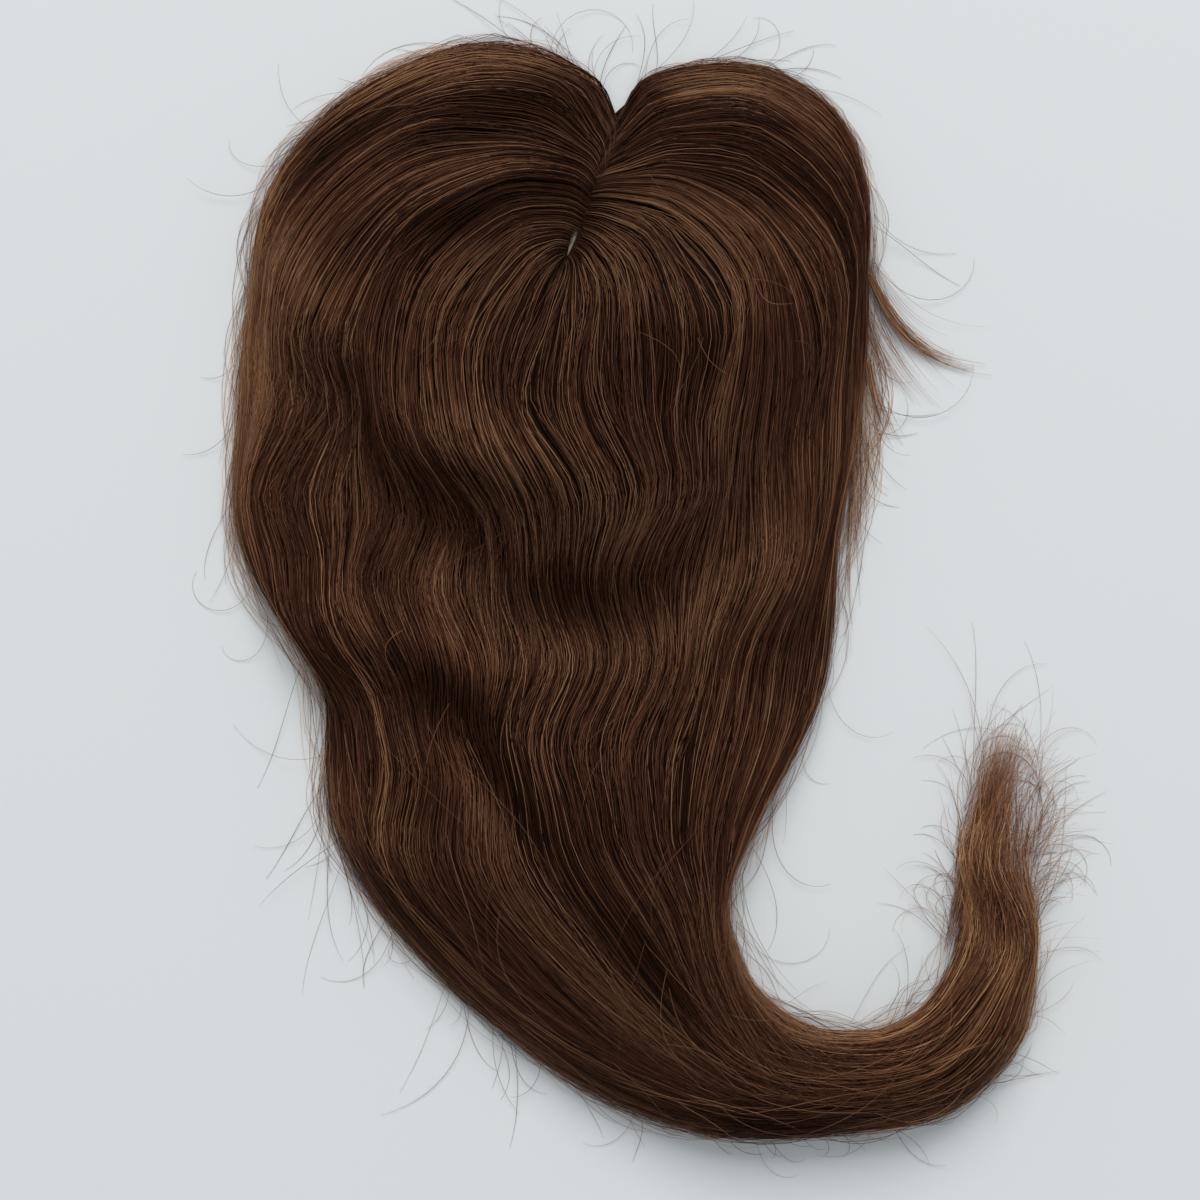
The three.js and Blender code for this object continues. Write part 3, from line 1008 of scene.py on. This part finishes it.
def edge_swing(wisps, section, from_edge):
    """Millimetres that the strands near the outline swing out of it."""
    wave = np.sin(by_strand(*EDGE_SWING_BEATS, wisps) * section + by_strand(*PHASES, wisps)) ** 2
    swung = np.minimum(rng.exponential(EDGE_SWINGS, (len(section), 1)), EDGE_SWING_MOST) * wave
    return swung * bell(from_edge, 0, EDGE_SWING_REACH) * smoothstep(section, *EDGE_SWING_SECTIONS)


def wisp_paths(wisps, shares, starts, ends, stops, depths, points, half_width, crown, drift_left):
    """Strands in thin wisps that follow the hair's flow: their paths, places along it, radii and tones."""
    middle = wisp_middles(wisps, shares)
    step = np.linspace(0, 1, points)[None]
    start, section = wisp_sections(wisps, starts, ends, stops, step)
    aside = by_strand(-1, 1, wisps)
    offset = wisp_offset(wisps, aside, half_width, start, section) + lock_sway(section, middle)
    length = length_across(section)
    share = drifted_share(section, middle, crown, drift_left)
    share = share + offset * smoothstep(section, *ROOTS_SPREAD_SECTIONS) / length
    lift = by_strand(*LIFTS, wisps) * np.sin(LIFT_BEAT * section + by_wisp(*PHASES, wisps))
    if crown:
        lift = lift + crown_layer(section, share)
        share = crown_gather(section, share)
    share = np.clip(share, 0, 1)
    from_edge = np.minimum(share, 1 - share) * length
    share = drawn_inside(section, share)
    swung = edge_swing(wisps, section, from_edge)
    share = share + np.sign(share - 0.5) * swung / length
    x, y = strand_plan(section, share)
    x = x - parting_overlap(section, middle)
    top = hair_height(section, np.clip(share, 0, 1), x, y)
    top = np.where(section < FLOW_END, crown_height(x, y), top)
    x = x + swing(x, y)
    depth = by_wisp(*depths, wisps) + WISP_ROUNDING * aside**2 + by_strand(*STRAND_DEPTHS, wisps)
    if not crown:
        depth = depth + EDGE_SINK * by_strand(0, 1, wisps) * top * bell(from_edge, 0, EDGE_SINK_REACH)
    emerge = EMERGE_DEPTH * (1 - smoothstep(step, *EMERGE_STEPS)) * (start > 1)
    z = np.maximum(top - depth - emerge + lift, STRAND_LOWEST)
    z = np.maximum(z, dome_height(x, y, BASE_CLEARANCE) - BASE_SINK)
    tone = strand_tone(section, share, from_edge, x, y)
    tone = np.clip(tone + each_strand(rng.normal(0, WISP_TONE_SPREAD, wisps)), *TONE_LIMITS)
    thin = smoothstep(thin_streak(section, share)[0] - by_strand(0, 1, wisps), -STREAK_BLUR, STREAK_BLUR)
    radii = by_strand(*STRAND_THICKNESS, wisps) * taper(points, *WISP_TAPER) * (1 - STREAK_THINNING * thin)
    radii = radii * (1 - SWING_THINNING * smoothstep(swung, *SWING_THIN_RANGE))
    return place(x, y, z), section / LAST_SECTION, STRAND_RADIUS * MM * radii, tone


# What the strands of the front, the lengths and the tail have in common: first and last sections, pairs of
# step and section that set their pace, depths under the hair's top, points along, half width of a wisp and
# whether they lie in the crown's layer
FRONT = {
    "starts": (0, 0.008),
    "stops": ((0.18, 0.3), (0.42, 1.5), (0.74, 4.2)),
    "depths": (0, 2),
    "points": 23,
    "half_width": 1.15,
    "crown": True,
}
LENGTH = {
    "starts": (2.4, 3.8),
    "ends": (10.5, 14),
    "stops": ((0.07, 4.6), (0.84, 10)),
    "depths": (0, 2.4),
    "points": 28,
    "half_width": 1.25,
    "crown": False,
}
TAIL = {
    "starts": (8.5, 11),
    "ends": (15.6, 17.6),
    "stops": (),
    "depths": (0.6, 2.8),
    "points": 21,
    "half_width": 1,
    "crown": False,
}
NO_DRIFT = (0, 0, 1)

# Each group's wisps, their shares of the width, and how far they drift left between two sections
STRAND_GROUPS = {
    "left_front_strands": {
        **FRONT, "wisps": 240, "shares": (0, 0.31), "ends": (5, 7.5), "drift_left": (0.7, 4.2, 6.2),
    },
    "crown_strands": {
        **FRONT, "wisps": 277, "shares": (0.27, 0.73), "ends": (5.2, 7.6), "drift_left": NO_DRIFT,
    },
    "right_front_strands": {
        **FRONT, "wisps": 240, "shares": (0.69, 1), "ends": (5, 7.5), "drift_left": NO_DRIFT,
    },
    "left_length_strands": {
        **LENGTH, "wisps": 242, "shares": (0, 0.42), "drift_left": (0.25, 10.3, 14),
    },
    "right_length_strands": {
        **LENGTH, "wisps": 260, "shares": (0.4, 1), "drift_left": (0.55, 10.9, 13.8),
    },
    "tail_strands": {
        **TAIL, "wisps": 178, "shares": (0, 1), "drift_left": (0.2, 11, 15),
    },
}


def add_wisps():
    for name, group in STRAND_GROUPS.items():
        add_strands(name, *wisp_paths(**group))


# Room round the frame's box that loose hairs keep to
LOOSE_MARGIN = np.array([15, 16, 8]) * MM
LOOSE_LOW = np.array(cad_box[0]) - LOOSE_MARGIN * (1, 1, 0)
LOOSE_HIGH = np.array(cad_box[1]) + LOOSE_MARGIN

# Fine strands of all kinds: how their thickness varies from one to the next
FINE_THICKNESS = (0.7, 1.2)


def within_room(paths):
    """Which strands stay inside the room for loose hairs."""
    return ((paths > LOOSE_LOW) & (paths < LOOSE_HIGH)).all(axis=(1, 2))


def fine_radii(radius, count, profile):
    """The fine strands' radii in metres, from one in millimetres and the profile along a strand."""
    return radius * rng.uniform(*FINE_THICKNESS, (count, 1)) * profile * MM


def curl_paths(x, y, heading, length, turns, points):
    """Curves from a start and a heading that turn as they go, by turns in radians for the whole curve."""
    stride = length / (points - 1)
    heading = heading + np.cumsum(turns + np.zeros(points), axis=1) / points
    along_x = np.cumsum(np.cos(heading) * stride, axis=1) - np.cos(heading[:, :1]) * stride
    along_y = np.cumsum(np.sin(heading) * stride, axis=1) - np.sin(heading[:, :1]) * stride
    return x + along_x, y + along_y


# The brush at the tail's tip: strands in its lock and in its fan, and sizes in millimetres. The lock's tips
# have a middle and a spread round its own tip, and the fan's tips lie past the bend of each strand
TUFT_LOCK = 290
TUFT_FAN = 230
TUFT_POINTS = 15
TUFT_TIP = (104, -45)
TUFT_SHARES = (0.05, 1)
TUFT_SECTIONS = (15.2, 17.2)
TUFT_RUN = 2.2
LOCK_SPREAD = 0.36
FAN_SHARES = (0, 0.9)
TUFT_BENDS = (8, 16)
LOCK_TIP_X = (0, 3)
LOCK_TIP_Y = (-1, 5)
FAN_TIP_X = (2, 6)
FAN_TIP_Y = (4, 30)
LOCK_ARCH = 4
FAN_ARCH = 8
ARCH_DROP = 0.3
TUFT_HEIGHTS = (0.25, 1)
TUFT_FALL = 0.45
TUFT_LOWEST = 0.3
TUFT_TONE = (0.55, 0.15)
LOCK_RADIUS = 0.085
FAN_RADIUS = 0.065
TUFT_THICKNESS = (0.7, 1.3)


def add_tuft():
    """The brush: a lock drawn to a point on the tail's inner side, and a thin fan on its outer side."""
    count = TUFT_LOCK + TUFT_FAN
    step = np.linspace(0, 1, TUFT_POINTS)[None]
    in_lock = (np.arange(count) < TUFT_LOCK)[:, None]
    lock_share = 1 - np.abs(rng.normal(0, LOCK_SPREAD, (count, 1)))
    fan_share = rng.uniform(*FAN_SHARES, (count, 1))
    share = np.clip(np.where(in_lock, lock_share, fan_share), *TUFT_SHARES)
    start = rng.uniform(*TUFT_SECTIONS, (count, 1))
    x, y = hair_plan(start, share)
    top = hair_height(start, share, x, y)
    heading = flow_heading(start, share)
    bend = rng.uniform(*TUFT_BENDS, (count, 1))
    bend_x, bend_y = x + bend * np.cos(heading), y + bend * np.sin(heading)
    lock_x = TUFT_TIP[0] + rng.normal(*LOCK_TIP_X, (count, 1))
    fan_x = bend_x + rng.normal(*FAN_TIP_X, (count, 1))
    lock_y = TUFT_TIP[1] + rng.normal(*LOCK_TIP_Y, (count, 1))
    fan_y = bend_y + rng.uniform(*FAN_TIP_Y, (count, 1))
    tip_x, tip_y = np.where(in_lock, lock_x, fan_x), np.where(in_lock, lock_y, fan_y)
    x = (1 - step) ** 2 * x + 2 * step * (1 - step) * bend_x + step**2 * tip_x
    y = (1 - step) ** 2 * y + 2 * step * (1 - step) * bend_y + step**2 * tip_y
    arch = rng.exponential(1, (count, 1)) * step**4
    arch = arch * np.where(in_lock, LOCK_ARCH, FAN_ARCH)
    x, y = x + arch, y - ARCH_DROP * arch
    z = np.maximum(top * rng.uniform(*TUFT_HEIGHTS, (count, 1)) * (1 - TUFT_FALL * step), TUFT_LOWEST)
    tone = drawn_tones(*TUFT_TONE, count) + 0 * step
    radii = np.where(in_lock, LOCK_RADIUS, FAN_RADIUS) * rng.uniform(*TUFT_THICKNESS, (count, 1))
    radii = radii * taper(TUFT_POINTS, *WISP_TAPER) * MM
    along = np.clip((start + TUFT_RUN * step) / LAST_SECTION, 0, 1)
    paths = place(x, y, z)
    inside = within_room(paths)
    tuft = add_strands("tail_tuft_strands", paths[inside], along[inside], radii[inside], tone[inside])
    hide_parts("tail_tuft")


# Locks that leave the right edge: strands, the four points that draw their curve, how far they spread at
# the root and at the tip in millimetres, and their radius
EDGE_LOCKS = {
    "flick": (46, ((65.5, 95), (71.5, 82), (79, 70), (95, 67.5)), 0.45, 2.0, 0.095),
    "sparse_upper": (18, ((66, 99), (71, 87), (78, 77), (92, 74)), 1.2, 4.5, 0.06),
    "sparse_lower": (44, ((65.5, 86), (68, 76), (73, 68), (81, 60)), 2.6, 4.5, 0.065),
    "small_lock": (22, ((65.5, 70), (66.8, 61), (68.5, 54), (72.5, 47)), 0.6, 1.2, 0.085),
}
EDGE_LOCK_POINTS = 14
EDGE_LOCK_LENGTHS = (0.55, 1.1)
EDGE_LOCK_HEIGHTS = (1.5, 4)
EDGE_LOCK_FALL = 0.7
EDGE_LOCK_TAPER = (0.8, 0.3)
EDGE_LOCK_LIGHTNESS = 0.78
EDGE_LOCK_LIGHTENING = 0.1
EDGE_LOCK_TONE = (0.66, 0.12)


def add_edge_locks():
    """The lock that flicks out of the right edge, a smaller one under it and sparse strands round both."""
    profile = taper(EDGE_LOCK_POINTS, *EDGE_LOCK_TAPER)
    paths, along, radii = [], [], []
    for count, corners, root_spread, tip_spread, radius in EDGE_LOCKS.values():
        step = np.linspace(0, 1, EDGE_LOCK_POINTS)[None] * rng.uniform(*EDGE_LOCK_LENGTHS, (count, 1))
        shares = ((1 - step) ** 3, 3 * step * (1 - step) ** 2, 3 * step**2 * (1 - step), step**3)
        line_x = sum(part * corner[0] for part, corner in zip(shares, corners))
        line_y = sum(part * corner[1] for part, corner in zip(shares, corners))
        spread = root_spread + (tip_spread - root_spread) * step
        x = line_x + spread * rng.normal(0, 1, (count, 1))
        y = line_y + spread * rng.normal(0, 1, (count, 1))
        z = rng.uniform(*EDGE_LOCK_HEIGHTS, (count, 1)) * (1 - EDGE_LOCK_FALL * step)
        paths.append(place(x, y, z))
        along.append(EDGE_LOCK_LIGHTNESS + EDGE_LOCK_LIGHTENING * step)
        radii.append(fine_radii(radius, count, profile))
    paths, along, radii = np.concatenate(paths), np.concatenate(along), np.concatenate(radii)
    tones = drawn_tones(*EDGE_LOCK_TONE, len(paths)) + 0 * along
    add_strands("right_flick_strands", paths, along, radii, tones)


# Fringe: strands, edge (0 left, 1 right), first and last sections, how far past the outline in millimetres
FRINGE_ZONES = {
    "left_brow": (80, 0, (0.5, 2.6), 2),
    "left_side": (150, 0, (1.8, 6.3), 1.2),
    "left_waist": (60, 0, (6.2, 8.4), 4),
    "left_turn": (30, 0, (8.2, 10.5), 2),
    "tail_outside": (40, 0, (11, 17), 2),
    "right_brow": (55, 1, (0.7, 3.5), 1.2),
    "right_side": (40, 1, (3.5, 5.4), 2),
    "right_thin": (95, 1, (5.2, 6.2), 4),
    "right_waist": (26, 1, (6.5, 9.5), 2.5),
    "inside_curl": (50, 1, (9.5, 16.5), 2.5),
}
FRINGE_POINTS = 12
FRINGE_RUN = (0.8, 1.9)
FRINGE_ROOT = 0.8
FRINGE_REACHES = (0.1, 1.2)
FRINGE_BOWED = 0.5
FRINGE_LEAVE_POWER = 1.5
FRINGE_RIPPLE = 0.5
FRINGE_RIPPLE_BEAT = 4
FRINGE_HEIGHTS = (0.3, 3.5)
FRINGE_FALL = 0.5
FRINGE_LOWEST = 0.2
# Painted light: the fringe is drawn lighter, in its tone and by the tips' colour, for light shining through
# its thin hairs
FRINGE_PAINTED_LIGHT = 0.93
FRINGE_RADIUS = 0.07
FRINGE_TAPER = (0.8, 0.4)
FRINGE_TONE = (0.68, 0.18)


def add_fringe():
    """Fine strands that run beside the outline with the table showing between them."""
    step = np.linspace(0, 1, FRINGE_POINTS)[None]
    paths, along = [], []
    for count, edge, sections, out in FRINGE_ZONES.values():
        start = rng.uniform(*sections, (count, 1))
        section = np.clip(start + rng.uniform(*FRINGE_RUN, (count, 1)) * step, 0, LAST_SECTION)
        inset = edge_inset(section, edge) + FRINGE_ROOT
        reach = (inset + out) * rng.uniform(*FRINGE_REACHES, (count, 1))
        bowed = rng.uniform(0, 1, (count, 1)) < FRINGE_BOWED
        leave = np.where(bowed, np.sin(np.pi * step), step**FRINGE_LEAVE_POWER)
        ripple = np.sin(FRINGE_RIPPLE_BEAT * section + rng.uniform(*PHASES, (count, 1)))
        outside = reach * leave - inset + FRINGE_RIPPLE * ripple
        x, y = hair_plan(section, edge + 0 * section)
        outwards = flow_heading(section, edge + 0 * section) + (edge - 0.5) * np.pi
        x, y = x + outside * np.cos(outwards), y + outside * np.sin(outwards)
        z = np.maximum(rng.uniform(*FRINGE_HEIGHTS, (count, 1)) * (1 - FRINGE_FALL * leave), FRINGE_LOWEST)
        paths.append(place(x, y, z + 0 * x))
        # Painted light: the fringe takes the light colour of the tips
        along.append(np.maximum(section / LAST_SECTION, FRINGE_PAINTED_LIGHT))
    paths = np.concatenate(paths)
    radii = fine_radii(FRINGE_RADIUS, len(paths), taper(FRINGE_POINTS, *FRINGE_TAPER))
    tones = drawn_tones(*FRINGE_TONE, len(paths)) + 0 * step
    add_strands("fringe_strands", paths, np.concatenate(along), radii, tones)


# Loose hairs: how many, edge (0 left, 1 right), first and last sections, length, how they leave the edge
LOOSE_ZONES = {
    "left_brow": (46, 0, (0.5, 3.2), 20, 0.4),
    "left_side": (34, 0, (3.2, 7), 20, 0.4),
    "left_waist": (22, 0, (7, 9.5), 28, 0.4),
    "left_turn": (26, 0, (9, 11.5), 24, 0.7),
    "tail_outside": (50, 0, (11.5, 17.5), 11, 1.0),
    "right_brow": (30, 1, (0.5, 3.2), 20, 0.4),
    "right_flick": (10, 1, (4.0, 5.0), 26, 0.4),
    "right_side": (26, 1, (4.8, 7), 18, 0.5),
    "right_waist": (18, 1, (7, 10), 26, 0.3),
    "inside_curl": (26, 1, (10, 15), 22, 0.4),
    "tail_inside": (46, 1, (15.3, 17.6), 16, 0.7),
    "tuft_outside": (60, 0, (16.3, 17.5), 20, 0.8),
    "tuft_top": (26, 1, (17.6, 18.7), 24, 0.3),
    "tuft_side": (30, 0, (17.4, 18.6), 22, 0.4),
}
LOOSE_POINTS = 13
LOOSE_LEAVE_SPREAD = 0.3
LOOSE_TURN_SPREAD = 1.3
LOOSE_TURN_BACK = 0.3
LOOSE_CURL_SPREAD = 2
LOOSE_LENGTH_SPREAD = 0.4
LOOSE_HEIGHTS = (0.5, 4)
LOOSE_LANDS = 0.8
LOOSE_TIP_HEIGHT = 0.8
LOOSE_LOWEST = 0.15
LOOSE_LIGHTENING = 0.12
LOOSE_RADIUS = 0.06
LOOSE_TAPER = (1, 0.4)
LOOSE_TONE = (0.5, 0.15)


def add_loose_hairs():
    """Single hairs that leave the outline and curl away over the table."""
    step = np.linspace(0, 1, LOOSE_POINTS)[None]
    paths, along = [], []
    for count, edge, sections, length, leaving in LOOSE_ZONES.values():
        start = rng.uniform(*sections, (count, 1))
        outwards = 2 * edge - 1
        share = edge - EDGE_STEP * outwards + 0 * start
        x, y = hair_plan(start, share)
        leave = np.abs(rng.normal(leaving, LOOSE_LEAVE_SPREAD, (count, 1)))
        heading = flow_heading(start, share) + outwards * leave
        turns = rng.normal(0, LOOSE_TURN_SPREAD, (count, 1)) - outwards * LOOSE_TURN_BACK
        turns = turns + rng.normal(0, LOOSE_CURL_SPREAD, (count, 1)) * step
        lengths = length * rng.lognormal(0, LOOSE_LENGTH_SPREAD, (count, 1))
        x, y = curl_paths(x, y, heading, lengths, turns, LOOSE_POINTS)
        rise = rng.uniform(*LOOSE_HEIGHTS, (count, 1)) * (1 - smoothstep(step, 0, LOOSE_LANDS))
        z = np.maximum(rise + rng.exponential(LOOSE_TIP_HEIGHT, (count, 1)) * step, LOOSE_LOWEST)
        spots = place(x, y, z + 0 * x)
        inside = within_room(spots)
        paths.append(spots[inside])
        along.append(np.clip(start / LAST_SECTION + LOOSE_LIGHTENING * step, 0, 1)[inside])
    paths = np.concatenate(paths)
    radii = fine_radii(LOOSE_RADIUS, len(paths), taper(LOOSE_POINTS, *LOOSE_TAPER))
    tones = drawn_tones(*LOOSE_TONE, len(paths)) + 0 * step
    add_strands("loose_hairs", paths, np.concatenate(along), radii, tones)


# Frizz: how many hairs, where they lie, and their sizes in millimetres
FRIZZ_COUNT = 130
FRIZZ_POINTS = 12
FRIZZ_SECTIONS = (0.6, 14)
FRIZZ_SHARES = (0.04, 0.96)
FRIZZ_RUN = (0.7, 1.4)
FRIZZ_SLANT = 9
FRIZZ_BOW = 2.5
FRIZZ_LIMITS = (0.01, 0.99)
FRIZZ_HEIGHT = 0.3
FRIZZ_ARCHES = (0, 0.8)
FRIZZ_TONE = (0.78, 0.08)
FRIZZ_RADIUS = 0.075
FRIZZ_TAPER = (0.5, 0.4)


def add_frizz():
    """Fine light hairs that lie across the others on top."""
    step = np.linspace(0, 1, FRIZZ_POINTS)[None]
    each = (FRIZZ_COUNT, 1)
    start = rng.uniform(*FRIZZ_SECTIONS, each)
    share = rng.uniform(*FRIZZ_SHARES, each)
    section = start + rng.uniform(*FRIZZ_RUN, each) * step
    slant = rng.normal(0, FRIZZ_SLANT, each) * step + rng.normal(0, FRIZZ_BOW, each) * np.sin(np.pi * step)
    share = np.clip(share + slant / length_across(section), *FRIZZ_LIMITS)
    x, y = hair_plan(section, share)
    arch = rng.uniform(*FRIZZ_ARCHES, each) * np.sin(np.pi * step)
    z = hair_height(section, share, x, y) + FRIZZ_HEIGHT + arch
    x = x + swing(x, y)
    tones = drawn_tones(*FRIZZ_TONE, FRIZZ_COUNT) + 0 * step
    radii = fine_radii(FRIZZ_RADIUS, FRIZZ_COUNT, taper(FRIZZ_POINTS, *FRIZZ_TAPER))
    add_strands("frizz", place(x, y, z), section / LAST_SECTION, radii, tones)


def give_finish(node, material):
    """Gives a piece of the frame its finish."""
    materials = bpy.data.objects[node].data.materials
    materials.clear()
    materials.append(material)


add_camera()
add_table()
add_window_light()
add_room_light()
for hair_node in HAIR_NODES:
    add_hair_body(hair_node)
add_wisps()
add_tuft()
add_edge_locks()
add_fringe()
add_loose_hairs()
add_frizz()

give_finish("base", base_material())
lacquer = clip_material()
for clip in CLIPS:
    give_finish(clip, lacquer)
